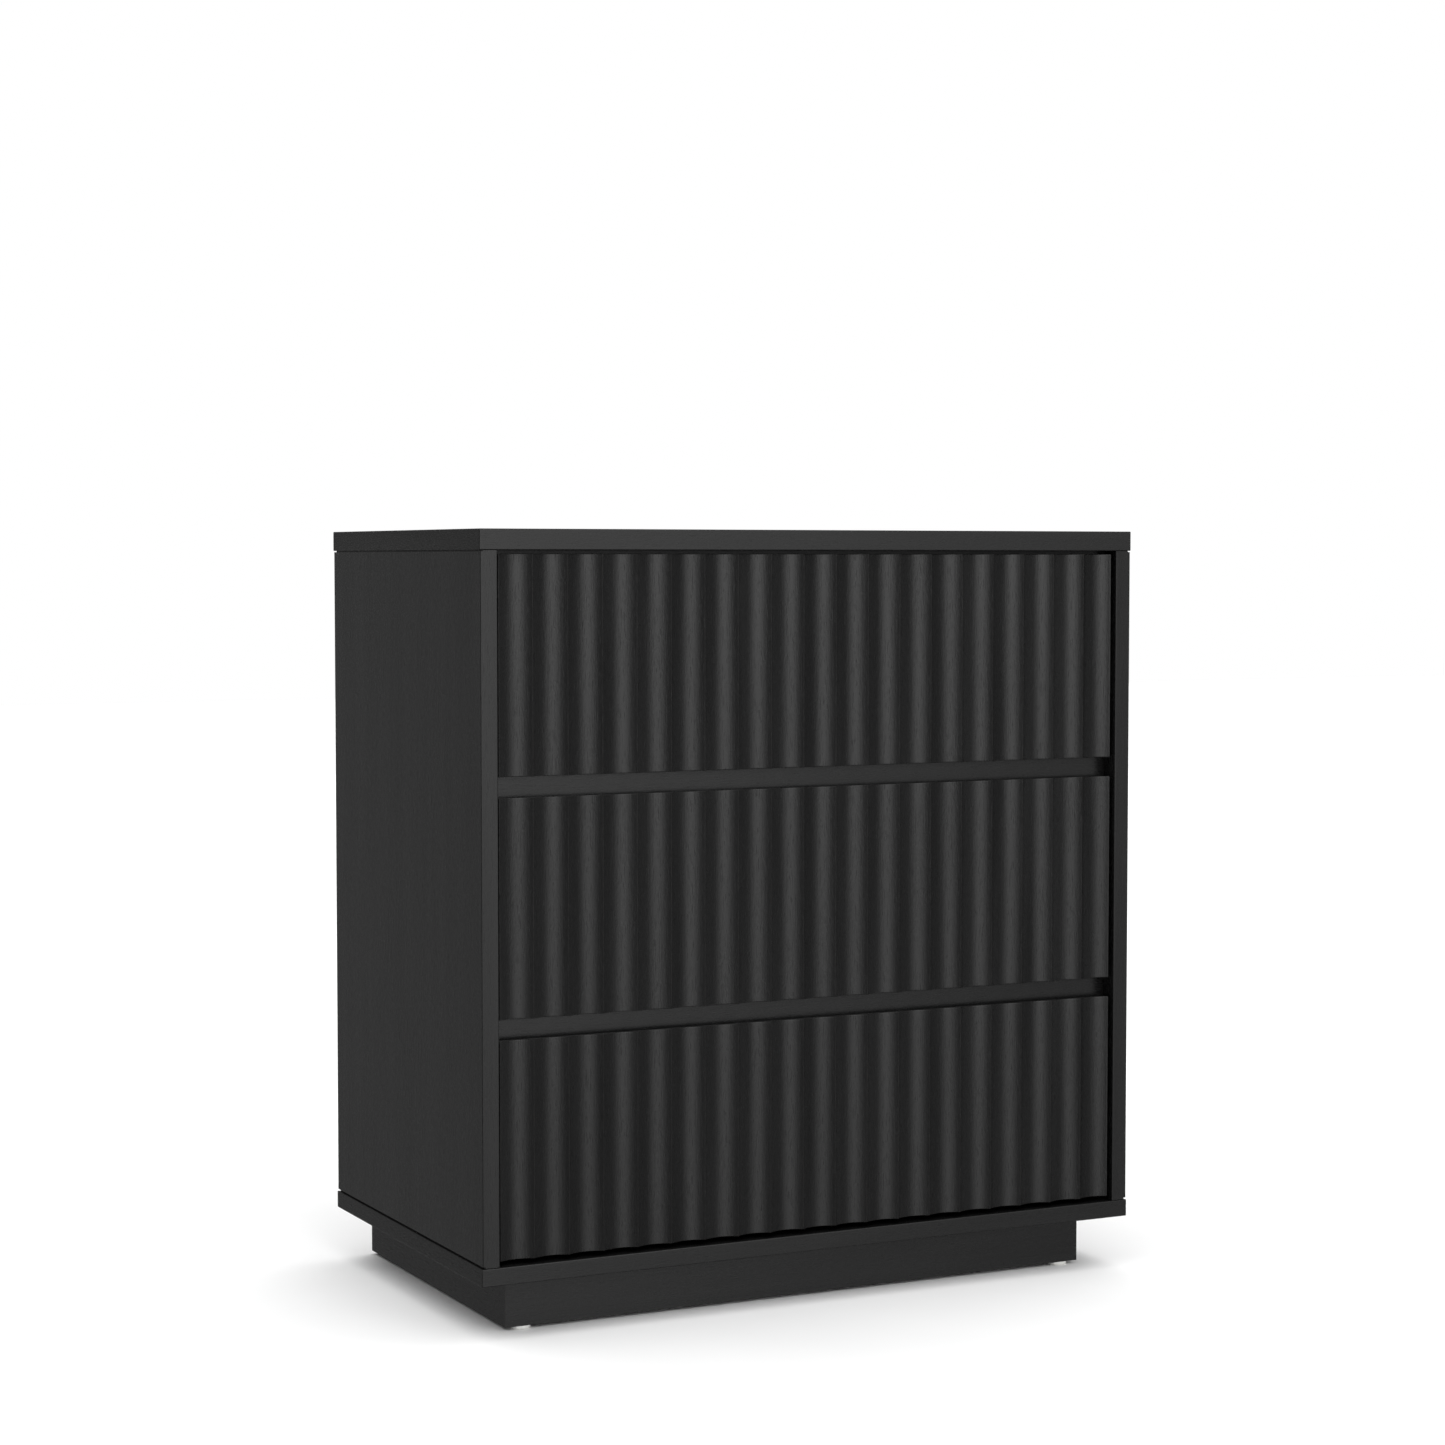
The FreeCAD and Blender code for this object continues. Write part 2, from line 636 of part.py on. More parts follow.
def web_slots(index, web_x, offsets):
    """Cutters for spare screw slots along a member's web, which starts at web_x."""
    start_x = web_x - RUNNER_STEEL / 2
    reach = RUNNER_STEEL * 2
    z = runner_centre_z(index)
    slots = []
    for offset in offsets:
        y = RUNNER_Y + offset
        slot = box(start_x, start_x + reach, y, y + SLOT_LENGTH, z - SLOT_RADIUS, z + SLOT_RADIUS)
        for end_y in (y, y + SLOT_LENGTH):
            slot = slot.fuse(rod((start_x, end_y, z), X_AXIS, reach, SLOT_RADIUS))
        slots.append(slot)
    return slots


def screw_at(place):
    """A flat-head screw pointing away from the drawer along -X or towards it along +X."""
    x, y, z, direction = place
    axis = X_AXIS * direction
    shank_start = (x, y, z)
    head_start = (x - direction * SCREW_HEAD_HEIGHT, y, z)
    head = rod(head_start, axis, SCREW_HEAD_HEIGHT, SCREW_HEAD_RADIUS)
    shank = rod(shank_start, axis, SCREW_LENGTH, SCREW_RADIUS)
    face_x = x - direction * SCREW_HEAD_HEIGHT
    sink_x = face_x if direction < 0 else face_x + SCREW_CROSS_DEPTH
    cross = cross_recess((sink_x, y, z), X_AXIS, SCREW_CROSS_LENGTH, SCREW_CROSS_WIDTH, SCREW_CROSS_DEPTH)
    return head.fuse(shank).removeSplitter().cut(cross)


def runner_screw_hole(place):
    """Cutter for a screw's shank."""
    x, y, z, direction = place
    radius = SCREW_RADIUS + FITTING_CLEARANCE
    return rod((x, y, z), X_AXIS * direction, SCREW_LENGTH, radius)


def cabinet_screw_places():
    """Left-hand screws that hold the cabinet members on the side panel."""
    x = LEFT_FACE_X + RUNNER_STEEL
    places = []
    for index in range(FRONT_COUNT):
        for offset in RUNNER_SCREW_OFFSETS:
            places.append((x, RUNNER_Y + offset, runner_centre_z(index), -1))
    return places


def box_screw_places(index):
    """Left-hand screws that hold a drawer member on the drawer side."""
    x = LEFT_FACE_X + RUNNER_SPACE - RUNNER_STEEL
    return [(x, RUNNER_Y + offset, runner_centre_z(index), 1) for offset in BOX_SCREW_OFFSETS]


def cabinet_member(index):
    member = channel(index, CABINET_MEMBER, RUNNER_STEEL, RUNNER_Y, RUNNER_LENGTH)
    slots = web_slots(index, LEFT_FACE_X, CABINET_SLOT_OFFSETS)
    return cut_all(member, slots + [runner_screw_hole(place) for place in cabinet_screw_places()])


def middle_member(index):
    return channel(index, MIDDLE_MEMBER, RUNNER_STEEL, RUNNER_Y, RUNNER_LENGTH)


def drawer_member(index):
    member = channel(index, DRAWER_MEMBER, RUNNER_STEEL, RUNNER_Y, RUNNER_LENGTH)
    slots = web_slots(index, LEFT_FACE_X + RUNNER_SPACE - RUNNER_STEEL, DRAWER_SLOT_OFFSETS)
    return cut_all(member, slots + [runner_screw_hole(place) for place in box_screw_places(index)])


def ball_rows(index, from_side, height, radius):
    """Two rows of balls, above and below the runner's centre line."""
    first_y = RUNNER_Y + (RUNNER_LENGTH - (BALLS_PER_ROW - 1) * BALL_PITCH) / 2
    balls = []
    for number in range(BALLS_PER_ROW):
        y = first_y + number * BALL_PITCH
        for sign in (-1, 1):
            centre = Vector(LEFT_FACE_X + from_side, y, runner_centre_z(index) + sign * height)
            balls.append(Part.makeSphere(radius, centre))
    return balls


def ball_cage(index, section, from_side, height, radius):
    """A cage strip with round windows, and the balls that it spaces."""
    start_y = RUNNER_Y + (RUNNER_LENGTH - CAGE_LENGTH) / 2
    strip = channel(index, section, CAGE_STEEL, start_y, CAGE_LENGTH)
    balls = ball_rows(index, from_side, height, radius)
    windows = ball_rows(index, from_side, height, radius + FITTING_CLEARANCE)
    return [cut_all(strip, windows)] + balls


def ball_cages(index):
    outer = ball_cage(index, OUTER_CAGE, OUTER_BALL_FROM_SIDE, OUTER_BALL_HEIGHT, OUTER_BALL_RADIUS)
    inner = ball_cage(index, INNER_CAGE, INNER_BALL_FROM_SIDE, INNER_BALL_HEIGHT, INNER_BALL_RADIUS)
    return both_sides(outer + inner)


# ---------------------------------------------------------------- writing the nodes

def write_case():
    left = left_side_panel()
    write("top_panel", [top_panel()])
    write("base_panel", [base_panel()])
    write("left_side_panel", [left])
    write("right_side_panel", [mirrored(left)])
    write("back_panel", [back_groove()])
    for node, (low_z, high_z) in RAIL_HEIGHTS.items():
        write(node, [rail(low_z, high_z)])


def write_plinth():
    for node, board in plinth_boards().items():
        write(node, [board])
    write("plinth_corner_blocks", corner_blocks())
    write("plinth_screws", plinth_screws())
    write("floor_glides", floor_glides())


def write_case_fittings():
    fittings = []
    for y, z, axis in case_cam_places():
        fittings.append(cam_lock(LEFT_FACE_X, y, z, axis))
        fittings.append(cam_bolt(LEFT_FACE_X, y, z, axis))
    dowels = [dowel_at(place, Z_AXIS) for place in side_dowel_places()]
    dowels += [dowel_at(place, X_AXIS) for place in rail_dowel_places()]
    screws = [screw_at(place) for place in cabinet_screw_places()]
    write("case_cam_fittings", both_sides(fittings))
    write("wood_dowels", both_sides(dowels))
    write("cabinet_runner_screws", both_sides(screws))


def write_drawer(index, name):
    left = drawer_left_side(index)
    screws = [screw_at(place) for place in box_screw_places(index)]
    write(name + "_drawer_front", [drawer_front(index)])
    write(name + "_drawer_left_side", [left])
    write(name + "_drawer_right_side", [mirrored(left)])
    write(name + "_drawer_back", [drawer_back(index)])
    write(name + "_drawer_bottom", [bottom_panel_space(index)])
    write(name + "_drawer_cam_fittings", drawer_cam_fittings(index))
    write(name + "_drawer_runner_screws", both_sides(screws))


def write_runners(index, name):
    members = {"cabinet_member": cabinet_member(index), "middle_member": middle_member(index),
               "drawer_member": drawer_member(index)}
    for member, shape in members.items():
        write(name + "_left_" + member, [shape])
        write(name + "_right_" + member, [mirrored(shape)])
    write(name + "_runner_ball_cages", ball_cages(index))


os.makedirs("parts", exist_ok=True)
write_case()
write_plinth()
write_case_fittings()
for drawer_index, drawer_name in enumerate(DRAWERS):
    write_drawer(drawer_index, drawer_name)
    write_runners(drawer_index, drawer_name)
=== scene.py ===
import math

import bmesh
import bpy
from mathutils import Euler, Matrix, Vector


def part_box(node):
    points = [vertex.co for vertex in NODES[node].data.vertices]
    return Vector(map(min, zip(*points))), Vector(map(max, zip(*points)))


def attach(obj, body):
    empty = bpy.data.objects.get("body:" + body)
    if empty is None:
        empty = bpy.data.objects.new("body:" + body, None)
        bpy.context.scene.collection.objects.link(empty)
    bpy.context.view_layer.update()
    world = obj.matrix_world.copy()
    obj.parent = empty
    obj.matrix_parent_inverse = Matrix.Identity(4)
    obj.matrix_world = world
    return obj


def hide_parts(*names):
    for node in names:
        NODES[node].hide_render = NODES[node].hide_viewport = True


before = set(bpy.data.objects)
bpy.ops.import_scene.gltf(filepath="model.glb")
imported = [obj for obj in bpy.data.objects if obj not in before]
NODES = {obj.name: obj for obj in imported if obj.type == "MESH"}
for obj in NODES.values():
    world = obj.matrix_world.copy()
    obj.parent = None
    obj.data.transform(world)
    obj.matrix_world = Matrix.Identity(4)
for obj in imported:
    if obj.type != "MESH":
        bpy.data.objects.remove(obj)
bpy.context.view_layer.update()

# The looks of a black, fluted three-drawer cabinet. Metres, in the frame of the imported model:
# +X is the viewer's right, -Y is the front, +Z is up, and the floor is at z = 0.

DRAWERS = ("bottom", "middle", "top")
MM = 0.001

# ---------------------------------------------------------------- camera

CAMERA_LENS = 76.84                    # mm
CAMERA_SENSOR = 36.0                   # mm, the width
CAMERA_NEAR = 0.05                     # nothing nearer than this is drawn
CAMERA_YAW = math.radians(26.417)      # turned from +Y towards +X
CAMERA_PITCH = math.radians(3.006)     # turned down
CAMERA_PLACE = Vector((-1.58816, -3.17939, 0.81548))


def add_camera():
    """The camera, left of the cabinet's middle and just under the height of its top."""
    data = bpy.data.cameras.new("camera")
    data.lens = CAMERA_LENS
    data.sensor_width = CAMERA_SENSOR
    data.clip_start = CAMERA_NEAR
    camera = bpy.data.objects.new("camera", data)
    camera.location = CAMERA_PLACE
    camera.rotation_euler = Euler((math.pi / 2 - CAMERA_PITCH, 0, -CAMERA_YAW))
    bpy.context.scene.collection.objects.link(camera)
    bpy.context.scene.camera = camera


# ---------------------------------------------------------------- node helpers

def add(tree, kind, inputs=None, **settings):
    """A shader node. inputs maps a socket's name or number to a value or to another socket."""
    node = tree.nodes.new(kind)
    for name, value in settings.items():
        setattr(node, name, value)
    for key, value in (inputs or {}).items():
        if isinstance(value, bpy.types.NodeSocket):
            tree.links.new(value, node.inputs[key])
        else:
            node.inputs[key].default_value = value
    return node


def calc(tree, operation, first, second=0.0, third=0.0):
    """The output of one Math node."""
    inputs = {0: first, 1: second, 2: third}
    return add(tree, "ShaderNodeMath", inputs, operation=operation).outputs[0]


def remap(tree, value, low, high, new_low=0.0, new_high=1.0):
    """A value moved from one range to another, and clamped."""
    inputs = {"Value": value, "From Min": low, "From Max": high, "To Min": new_low, "To Max": new_high}
    return add(tree, "ShaderNodeMapRange", inputs).outputs["Result"]


def mix_colours(tree, factor, first, second):
    """A blend of two colours."""
    return add(tree, "ShaderNodeMix", {0: factor, 6: first, 7: second}, data_type="RGBA").outputs[2]


def noise(tree, coordinates, scale, detail=2.0, roughness=0.5, distortion=0.0):
    """The value of a noise texture."""
    inputs = {"Vector": coordinates, "Scale": scale, "Detail": detail, "Roughness": roughness,
              "Distortion": distortion}
    return add(tree, "ShaderNodeTexNoise", inputs).outputs[0]


def grey(level):
    """A neutral colour. Every colour here is linear RGBA."""
    return (level, level, level, 1.0)


def new_material(name):
    """An empty node material with its Principled shader."""
    material = bpy.data.materials.new(name)
    material.use_nodes = True
    tree = material.node_tree
    tree.nodes.clear()
    shader = add(tree, "ShaderNodeBsdfPrincipled")
    output = add(tree, "ShaderNodeOutputMaterial")
    tree.links.new(shader.outputs[0], output.inputs["Surface"])
    return material, tree, shader


def stretched(tree, scales, offset=0.0):
    """Object coordinates, scaled along each axis and shifted, which gives each pattern its own place."""
    place = add(tree, "ShaderNodeTexCoord").outputs["Object"]
    inputs = {"Vector": place, "Scale": scales, "Location": (offset, offset, offset)}
    return add(tree, "ShaderNodeMapping", inputs).outputs[0]


# ---------------------------------------------------------------- parts shared by the materials

X, Y, Z = 0, 1, 2
EVEN = (1, 1, 1)               # scales of a pattern with no direction
FACING = 0.7                   # a face looks along an axis when its normal has more than this of it
WEAR_RADIUS = 0.9 * MM         # width of the rubbed edges
WEAR_SAMPLES = 4
CREVICE_REACH = 3.0 * MM       # how far a wall may be and still make a crevice
CREVICE_SAMPLES = 8


def streaks(axis, across, along):
    """Scales of a pattern drawn out along an axis, in noise cells a metre."""
    return tuple(along if index == axis else across for index in (X, Y, Z))


def surface_parts(tree):
    """The place and the normal of the surface, each as three numbers."""
    place = add(tree, "ShaderNodeTexCoord").outputs["Object"]
    normal = add(tree, "ShaderNodeNewGeometry").outputs["True Normal"]
    return (add(tree, "ShaderNodeSeparateXYZ", {0: place}).outputs,
            add(tree, "ShaderNodeSeparateXYZ", {0: normal}).outputs)


def turned(tree, place, axis):
    """The place with its numbers reordered, so that the third runs along an axis."""
    first, second = (index for index in (X, Y, Z) if index != axis)
    inputs = {0: place[first], 1: place[second], 2: place[axis]}
    return add(tree, "ShaderNodeCombineXYZ", inputs).outputs[0]


def board_grain(tree, main_axis, end_axis):
    """A board's grain coordinates, and a mask of its banded ends.

    The third coordinate runs along the grain: along one axis on the faces, along another on the ends.
    """
    place, normal = surface_parts(tree)
    at_end = calc(tree, "GREATER_THAN", calc(tree, "ABSOLUTE", normal[main_axis]), FACING)
    inputs = {0: at_end, 4: turned(tree, place, main_axis), 5: turned(tree, place, end_axis)}
    return add(tree, "ShaderNodeMix", inputs, data_type="VECTOR").outputs[1], at_end


def scaled(tree, coordinates, cells, offset):
    """Grain coordinates for a pattern with so many cells a metre, across and along the grain."""
    across, along = cells
    inputs = {"Vector": coordinates, "Scale": (across, across, along),
              "Location": (offset, offset * 1.7, offset * 0.3)}
    return add(tree, "ShaderNodeMapping", inputs).outputs[0]


def edge_wear(tree, amount, patchiness=60.0):
    """A mask of the rubbed edges, broken up by noise."""
    rounded = add(tree, "ShaderNodeBevel", {"Radius": WEAR_RADIUS}, samples=WEAR_SAMPLES).outputs[0]
    flat = add(tree, "ShaderNodeNewGeometry").outputs["Normal"]
    inputs = {0: rounded, 1: flat}
    likeness = add(tree, "ShaderNodeVectorMath", inputs, operation="DOT_PRODUCT").outputs["Value"]
    edge = remap(tree, likeness, 0.998, 0.90, 0.0, amount)
    patches = noise(tree, stretched(tree, EVEN, 5.0), patchiness, 4.0, 0.65)
    return calc(tree, "MULTIPLY", edge, remap(tree, patches, 0.40, 0.62))


def seam_shade_occlusion(tree):
    """1 on an open face, and near 0 inside a narrow seam. It is used to paint shade into the seams, by
    dimming the gloss there.
    """
    inputs = {"Distance": CREVICE_REACH}
    return add(tree, "ShaderNodeAmbientOcclusion", inputs, samples=CREVICE_SAMPLES).outputs["AO"]


def set_surface(tree, shader, colour, roughness, heights):
    """Links a colour, a roughness, and bumps given as (height, distance) pairs."""
    normal = None
    for height, distance in heights:
        inputs = {"Strength": 1.0, "Distance": distance, "Height": height}
        if normal:
            inputs["Normal"] = normal
        normal = add(tree, "ShaderNodeBump", inputs).outputs[0]
    tree.links.new(colour, shader.inputs["Base Color"])
    tree.links.new(roughness, shader.inputs["Roughness"])
    tree.links.new(normal, shader.inputs["Normal"])


# ---------------------------------------------------------------- black veneer

VENEER_LEVEL = 0.0066
VENEER_DARK = grey(VENEER_LEVEL * 0.7)
VENEER_PALE = grey(VENEER_LEVEL * 1.35)
VENEER_PORE = grey(VENEER_LEVEL * 0.25)
VENEER_WORN = (0.034, 0.027, 0.022, 1)
VENEER_ROUGHNESS = 0.20        # where no fibre, pore, cloud or wear adds to it
VENEER_WEAR = 0.35
END_SPECULAR = 0.36            # specular level of the banded ends of the boards
END_RELIEF = 0.15              # share of the relief that is left there
PAINTED_SEAM_SHADE_GLOSS = 0.10           # painted shade: the share of the gloss that is left deep inside a narrow seam
FIBRE_RELIEF = 0.09 * MM
RIPPLE_RELIEF = 0.13 * MM

# noise cells a metre, across and along the grain
FIBRE_CELLS = (520, 26)
RIPPLE_CELLS = (400, 170)
PORE_CELLS = (1700, 75)
FIGURE_CELLS = (24, 1.5)
CLOUD_CELLS = (9, 7)


def black_veneer(name, main_axis, end_axis, seed, specular, relief):
    """Open-pored black veneer, satin lacquered. Its grain shows mostly in the highlights, and shade is
    painted into its narrow seams by dimming the gloss there.
    """
    material, tree, shader = new_material(name)
    grain, at_end = board_grain(tree, main_axis, end_axis)
    fibres = noise(tree, scaled(tree, grain, FIBRE_CELLS, seed), 1.0, 4.0, 0.6, 0.3)
    ripples = noise(tree, scaled(tree, grain, RIPPLE_CELLS, seed + 2.0), 1.0, 4.0, 0.6, 1.0)
    pores = noise(tree, scaled(tree, grain, PORE_CELLS, seed + 4.0), 1.0, 2.0, 0.5)
    figure = noise(tree, scaled(tree, grain, FIGURE_CELLS, seed), 1.0, 3.0, 0.55, 0.9)
    clouds = noise(tree, scaled(tree, grain, CLOUD_CELLS, seed + 6.0), 1.0, 2.0, 0.5)
    pore_mask = remap(tree, pores, 0.60, 0.72)
    tone = remap(tree, figure, 0.3, 0.7)
    worn = edge_wear(tree, VENEER_WEAR)
    colour = mix_colours(tree, tone, VENEER_DARK, VENEER_PALE)
    colour = mix_colours(tree, pore_mask, colour, VENEER_PORE)
    colour = mix_colours(tree, worn, colour, VENEER_WORN)
    roughness = calc(tree, "MULTIPLY_ADD", fibres, 0.08, VENEER_ROUGHNESS)
    roughness = calc(tree, "MULTIPLY_ADD", clouds, 0.04, roughness)
    roughness = calc(tree, "MULTIPLY_ADD", pore_mask, 0.10, roughness)
    roughness = calc(tree, "MULTIPLY_ADD", worn, 0.15, roughness)
    height = calc(tree, "MULTIPLY_ADD", pore_mask, -0.35, fibres)
    rippled = calc(tree, "MULTIPLY", ripples, remap(tree, clouds, 0.35, 0.65, 0.4, 1.3))
    smoothing = remap(tree, at_end, 0.0, 1.0, 1.0, END_RELIEF)
    height = calc(tree, "MULTIPLY", height, smoothing)
    rippled = calc(tree, "MULTIPLY", rippled, smoothing)
    heights = ((height, FIBRE_RELIEF * relief), (rippled, RIPPLE_RELIEF * relief))
    set_surface(tree, shader, colour, roughness, heights)
    gloss = remap(tree, at_end, 0.0, 1.0, specular, END_SPECULAR)
    # Painted shade: the gloss is dimmed where ambient occlusion finds a narrow seam.
    share = remap(tree, seam_shade_occlusion(tree), 0.20, 0.60, PAINTED_SEAM_SHADE_GLOSS, 1.0)
    gloss = calc(tree, "MULTIPLY", gloss, share)
    tree.links.new(gloss, shader.inputs["Specular IOR Level"])
    return material


# ---------------------------------------------------------------- boards inside

LAMINATE_DARK = (0.020, 0.019, 0.019, 1)
LAMINATE_PALE = (0.025, 0.024, 0.024, 1)
LAMINATE_FIBRE = (0.030, 0.029, 0.028, 1)
LAMINATE_SCUFF = (0.050, 0.048, 0.046, 1)
LAMINATE_CORE = (0.12, 0.085, 0.055, 1)

LINEN_HOLLOW = (0.052, 0.050, 0.048, 1)
LINEN_THREAD = (0.098, 0.095, 0.090, 1)
LINEN_CLOUD = (0.062, 0.060, 0.058, 1)
LINEN_WORN = (0.17, 0.16, 0.15, 1)

MELAMINE_DARK = (0.070, 0.068, 0.065, 1)
MELAMINE_PALE = (0.100, 0.098, 0.095, 1)
MELAMINE_RUBBED = (0.14, 0.135, 0.13, 1)


def matt_board(name):
    """Thin fibreboard with a matt black laminate: mottled, lightly scuffed."""
    material, tree, shader = new_material(name)
    fibre = noise(tree, stretched(tree, EVEN), 850.0, 4.0, 0.6)
    mottle = noise(tree, stretched(tree, EVEN, 2.0), 5.0, 3.0, 0.5)
    scuff = noise(tree, stretched(tree, streaks(Z, 220, 9), 1.0), 1.0, 3.0, 0.6, 0.4)
    scuff_mask = remap(tree, scuff, 0.63, 0.72, 0.0, 0.5)
    worn = edge_wear(tree, 0.6)
    colour = mix_colours(tree, remap(tree, mottle, 0.3, 0.7), LAMINATE_DARK, LAMINATE_PALE)
    colour = mix_colours(tree, fibre, colour, LAMINATE_FIBRE)
    colour = mix_colours(tree, scuff_mask, colour, LAMINATE_SCUFF)
    colour = mix_colours(tree, worn, colour, LAMINATE_CORE)
    roughness = calc(tree, "MULTIPLY_ADD", fibre, 0.16, 0.54)
    roughness = calc(tree, "MULTIPLY_ADD", scuff_mask, 0.12, roughness)
    set_surface(tree, shader, colour, roughness, ((fibre, 0.06 * MM), (mottle, 0.1 * MM)))
    return material


def linen_board(name):
    """Anthracite melamine pressed with a fine linen weave."""
    material, tree, shader = new_material(name)
    threads = []
    for axis in (X, Y, Z):
        threads.append(noise(tree, stretched(tree, streaks(axis, 1150, 60), axis), 1.0, 2.0, 0.55))
    weave = calc(tree, "MAXIMUM", calc(tree, "MAXIMUM", threads[X], threads[Y]), threads[Z])
    weave = remap(tree, weave, 0.48, 0.72)
    clouds = noise(tree, stretched(tree, EVEN, 3.0), 22.0, 3.0, 0.5)
    worn = edge_wear(tree, 0.5)
    colour = mix_colours(tree, weave, LINEN_HOLLOW, LINEN_THREAD)
    colour = mix_colours(tree, remap(tree, clouds, 0.3, 0.7, 0.0, 0.3), colour, LINEN_CLOUD)
    colour = mix_colours(tree, worn, colour, LINEN_WORN)
    roughness = calc(tree, "MULTIPLY_ADD", weave, -0.12, 0.58)
    roughness = calc(tree, "MULTIPLY_ADD", clouds, 0.08, roughness)
    set_surface(tree, shader, colour, roughness, ((weave, 0.06 * MM),))
    return material


def smooth_board(name):
    """Smooth matt melamine with the faint orange peel and the rub marks of use."""
    material, tree, shader = new_material(name)
    peel = noise(tree, stretched(tree, EVEN), 520.0, 3.0, 0.5)
    speckle = noise(tree, stretched(tree, EVEN, 4.0), 1900.0, 2.0, 0.6)
    rubs = noise(tree, stretched(tree, streaks(Y, 90, 11), 2.0), 1.0, 4.0, 0.6, 0.5)
    rub_mask = remap(tree, rubs, 0.52, 0.70)
    colour = mix_colours(tree, speckle, MELAMINE_DARK, MELAMINE_PALE)
    colour = mix_colours(tree, calc(tree, "MULTIPLY", rub_mask, 0.25), colour, MELAMINE_RUBBED)
    roughness = calc(tree, "MULTIPLY_ADD", peel, 0.10, 0.46)
    roughness = calc(tree, "MULTIPLY_ADD", rub_mask, -0.10, roughness)
    set_surface(tree, shader, colour, roughness, ((peel, 0.06 * MM), (speckle, 0.01 * MM)))
    return material


# ---------------------------------------------------------------- raw wood

PINE_EARLY = (0.72, 0.53, 0.31, 1)
PINE_LATE = (0.50, 0.30, 0.13, 1)
PINE_FIBRE = (0.80, 0.64, 0.42, 1)
PINE_RESIN = (0.34, 0.19, 0.08, 1)
PINE_WORN = (0.55, 0.40, 0.24, 1)

BEECH_DARK = (0.56, 0.37, 0.20, 1)
BEECH_PALE = (0.70, 0.51, 0.31, 1)
BEECH_TONE = (0.62, 0.40, 0.22, 1)
BEECH_FLECK = (0.33, 0.19, 0.09, 1)


def pine(name):
    """Sawn pine: growth rings, fibres, resin streaks and the marks of the saw."""
    material, tree, shader = new_material(name)
    drawn_out = stretched(tree, (1, 1, 0.16), 0.35)
    inputs = {"Vector": drawn_out, "Scale": 95.0, "Distortion": 2.2, "Detail": 3.0, "Detail Scale": 0.6}
    rings = add(tree, "ShaderNodeTexWave", inputs, wave_type="RINGS", rings_direction="Z").outputs[1]
    fibres = noise(tree, stretched(tree, streaks(Z, 1300, 45)), 1.0, 4.0, 0.6)
    stains = noise(tree, stretched(tree, streaks(Z, 60, 14), 2.0), 1.0, 3.0, 0.6)
    inputs = {"Vector": stretched(tree, EVEN), "Scale": 130.0, "Distortion": 3.0, "Detail": 2.0}
    saw = add(tree, "ShaderNodeTexWave", inputs, bands_direction="Z").outputs[1]
    worn = edge_wear(tree, 0.5)
    colour = mix_colours(tree, rings, PINE_EARLY, PINE_LATE)
    colour = mix_colours(tree, calc(tree, "MULTIPLY", fibres, 0.5), colour, PINE_FIBRE)
    colour = mix_colours(tree, remap(tree, stains, 0.55, 0.75, 0.0, 0.5), colour, PINE_RESIN)
    colour = mix_colours(tree, worn, colour, PINE_WORN)
    roughness = calc(tree, "MULTIPLY_ADD", fibres, 0.2, 0.62)
    set_surface(tree, shader, colour, roughness, ((fibres, 0.2 * MM), (saw, 0.3 * MM)))
    return material


def beech(name):
    """Raw beech dowel: close grain, with the short dark flecks of its rays."""
    material, tree, shader = new_material(name)
    grain = noise(tree, stretched(tree, streaks(Y, 260, 900)), 1.0, 4.0, 0.6)
    flecks = noise(tree, stretched(tree, streaks(Y, 700, 1500), 1.0), 1.0, 2.0, 0.5)
    tone = noise(tree, stretched(tree, EVEN, 6.0), 30.0, 2.0, 0.5)
    fleck_mask = remap(tree, flecks, 0.60, 0.68)
    colour = mix_colours(tree, grain, BEECH_DARK, BEECH_PALE)
    colour = mix_colours(tree, calc(tree, "MULTIPLY", tone, 0.4), colour, BEECH_TONE)
    colour = mix_colours(tree, fleck_mask, colour, BEECH_FLECK)
    roughness = calc(tree, "MULTIPLY_ADD", grain, 0.2, 0.52)
    set_surface(tree, shader, colour, roughness, ((grain, 0.1 * MM),))
    return material


# ---------------------------------------------------------------- metal and plastic

STEEL_SPECK = (0.20, 0.19, 0.18, 1)
STEEL_RUBBED = (0.80, 0.80, 0.81, 1)

ZINC_DARK = (0.40, 0.40, 0.41, 1)
ZINC_PALE = (0.62, 0.62, 0.61, 1)
ZINC_HOLLOW = (0.33, 0.33, 0.33, 1)
ZINC_RUBBED = (0.78, 0.77, 0.75, 1)

POLYTHENE_WHITE = (0.84, 0.84, 0.82, 1)
POLYTHENE_SHADE = (0.78, 0.78, 0.75, 1)
POLYTHENE_DIRT = (0.42, 0.39, 0.34, 1)
POLYTHENE_WORN = (0.90, 0.90, 0.89, 1)
DIRT_HEIGHT = 2.2 * MM         # above the floor


